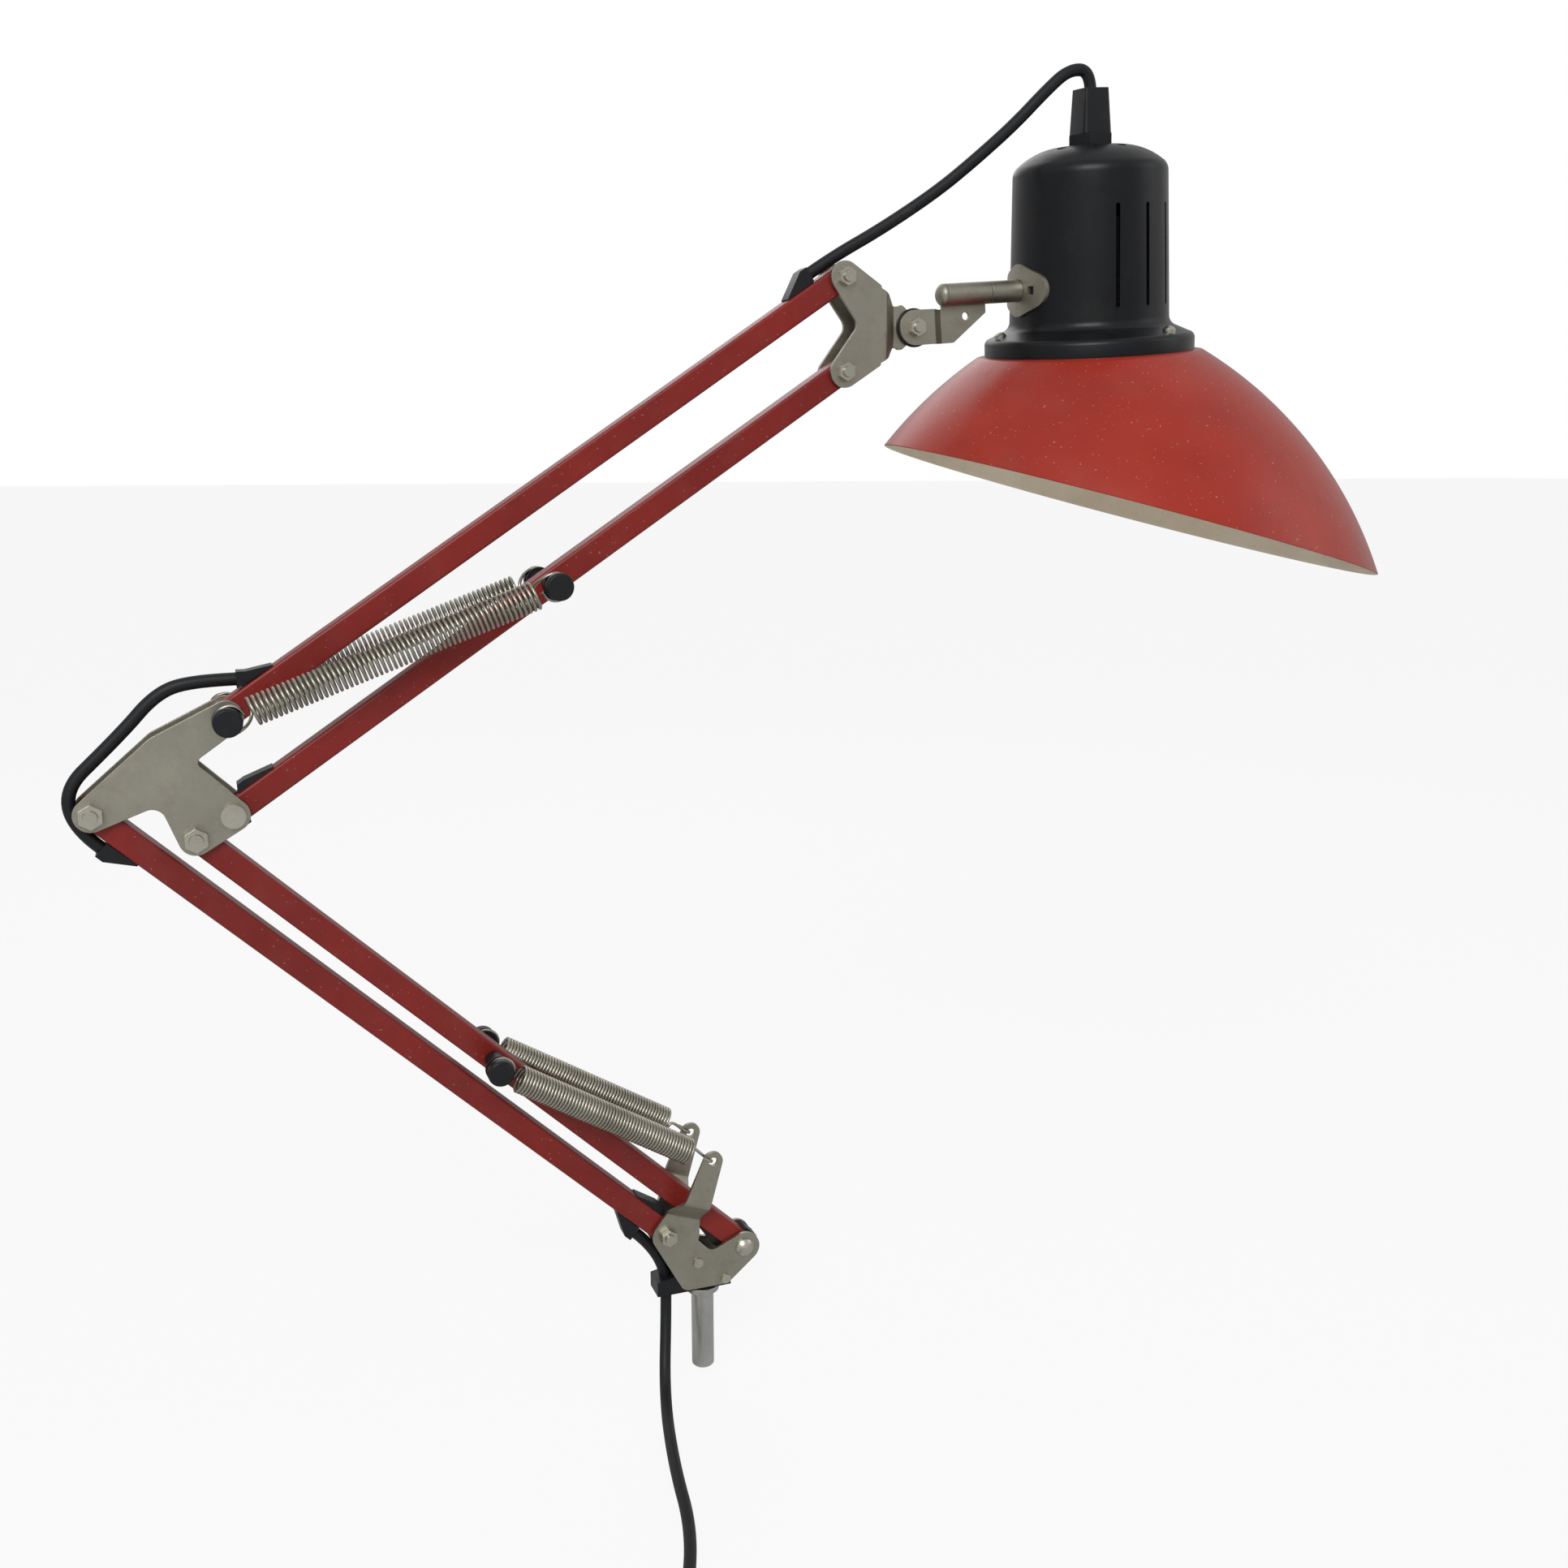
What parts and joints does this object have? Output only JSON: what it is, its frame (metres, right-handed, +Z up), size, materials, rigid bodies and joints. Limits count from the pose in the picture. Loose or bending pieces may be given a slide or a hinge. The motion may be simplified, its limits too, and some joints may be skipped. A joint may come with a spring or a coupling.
{
  "type": "architect lamp",
  "caption": "Spring-balanced architect lamp: two square-tube parallelogram arms, bent-plate joints, tilting and swivelling vented head with an obliquely cut shade, spigot base",
  "frame": {"origin": "on the axis of the spigot pin under the base, at the collar's underside that rests on the socket", "axes": "+X from the base towards the head in the lamp's folding plane, +Y to the lamp's left away from the viewer of the picture, +Z up along the spigot"},
  "size_m": [0.6841, 0.4726, 0.6848],
  "materials": {
    "red_enamel": "gloss tomato red stove enamel outside, cream white inside",
    "red_paint": "semi-gloss tomato red paint with small chips at the edges",
    "black_enamel": "satin black enamel",
    "nickel": "dull grey nickel plate with bright cut edges",
    "zinc": "bright zinc plate",
    "steel": "plain turned steel",
    "spring_steel": "drawn nickel-plated spring wire",
    "brass": "plain brass contacts",
    "black_plastic": "satin black moulded plastic",
    "cord": "matt black sheath, slightly dusty"
  },
  "bodies": {
    "base": {"base_plate_front": "nickel", "base_plate_rear": "nickel", "base_block": "black_plastic", "base_spigot": "steel", "base_bolts": "zinc", "base_nuts": "zinc", "supply_loop": "cord", "supply_lead": "cord", "supply_coil": "cord", "plug_body": "black_plastic", "plug_pins": "steel", "switch_body": "black_plastic"},
    "rocker": {"switch_rocker": "black_plastic"},
    "lower_back": {"lower_back_bar": "red_paint", "lower_back_inserts": "black_plastic", "lower_bar_cord": "cord"},
    "lower_front": {"lower_front_bar": "red_paint", "lower_front_inserts": "black_plastic", "lower_spring_pin": "steel", "lower_bobbins": "black_plastic", "lower_spring_front": "spring_steel", "lower_spring_rear": "spring_steel"},
    "knee": {"knee_plate_front": "nickel", "knee_plate_rear": "nickel", "knee_bolts": "zinc", "knee_nuts": "zinc", "knee_spring_pin": "steel", "knee_bobbins": "black_plastic", "knee_cord_lower": "cord", "knee_cord_upper": "cord", "upper_spring_front": "spring_steel", "upper_spring_rear": "spring_steel"},
    "upper_top": {"upper_top_bar": "red_paint", "upper_top_inserts": "black_plastic", "upper_bar_cord": "cord", "head_cord_a": "cord"},
    "upper_bottom": {"upper_bottom_bar": "red_paint", "upper_bottom_inserts": "black_plastic", "upper_spring_pin": "steel", "upper_bobbins": "black_plastic"},
    "bracket": {"head_plate_front": "nickel", "head_plate_rear": "nickel", "head_bolts": "zinc", "head_nuts": "zinc", "head_cord_b": "cord"},
    "link": {"tilt_link": "nickel", "tilt_washer": "black_plastic", "head_cord_c": "cord"},
    "head": {"spindle": "nickel", "saddle": "nickel", "lamp_housing": "black_enamel", "shade": "red_enamel", "flange_screws": "zinc", "inner_nuts": "zinc", "strain_relief": "black_plastic", "lampholder": "black_plastic", "lampholder_contacts": "brass", "nipple": "steel", "holder_cord": "cord"}
  },
  "joints": [
    {"name": "lower_arm", "type": "hinge", "parent": "base", "child": "lower_back", "pos_m": [-0.02135, 0, 0.0382], "axis": [0, -1, 0], "range_deg": [-76, 4], "deforming": ["supply_loop"]},
    {"name": "lower_front_follow", "type": "hinge", "parent": "base", "child": "lower_front", "pos_m": [0.02135, 0, 0.024], "axis": [0, -1, 0], "range_deg": [-76, 4], "deforming": ["lower_spring_front", "lower_spring_rear"]},
    {"name": "knee_level", "type": "hinge", "parent": "lower_back", "child": "knee", "pos_m": [-0.28205, 0, 0.28647], "axis": [0, -1, 0], "range_deg": [-4, 76], "deforming": ["knee_cord_lower"]},
    {"name": "upper_arm", "type": "hinge", "parent": "knee", "child": "upper_top", "pos_m": [-0.22285, 0, 0.32696], "axis": [0, -1, 0], "range_deg": [-53.8, 32.2], "deforming": ["knee_cord_upper"]},
    {"name": "upper_bottom_follow", "type": "hinge", "parent": "knee", "child": "upper_bottom", "pos_m": [-0.22285, 0, 0.28196], "axis": [0, -1, 0], "range_deg": [-53.8, 32.2], "deforming": ["upper_spring_front", "upper_spring_rear"]},
    {"name": "head_level", "type": "hinge", "parent": "upper_top", "child": "bracket", "pos_m": [0.0763, 0, 0.52723], "axis": [0, -1, 0], "range_deg": [-32.2, 53.8], "deforming": ["head_cord_a"]},
    {"name": "head_tilt", "type": "hinge", "parent": "bracket", "child": "link", "pos_m": [0.1163, 0, 0.50473], "axis": [0, -1, 0], "range_deg": [-35, 60], "deforming": ["head_cord_b"]},
    {"name": "head_roll", "type": "hinge", "parent": "link", "child": "head", "pos_m": [0.11504, 0, 0.51978], "axis": [0.9965, 0, 0.0837], "range_deg": [-60, 60], "deforming": ["head_cord_c"]},
    {"name": "switch_rock", "type": "hinge", "parent": "base", "child": "rocker", "pos_m": [-0.0759, -0.20544, -0.036], "axis": [0.9348, -0.3551, 0], "range_deg": [0, 18]}
  ],
  "couplings": [
    {"joint": "lower_front_follow", "follows": "lower_arm", "ratio": 1},
    {"joint": "knee_level", "follows": "lower_arm", "ratio": -1},
    {"joint": "upper_bottom_follow", "follows": "upper_arm", "ratio": 1},
    {"joint": "head_level", "follows": "upper_arm", "ratio": -1}
  ]
}
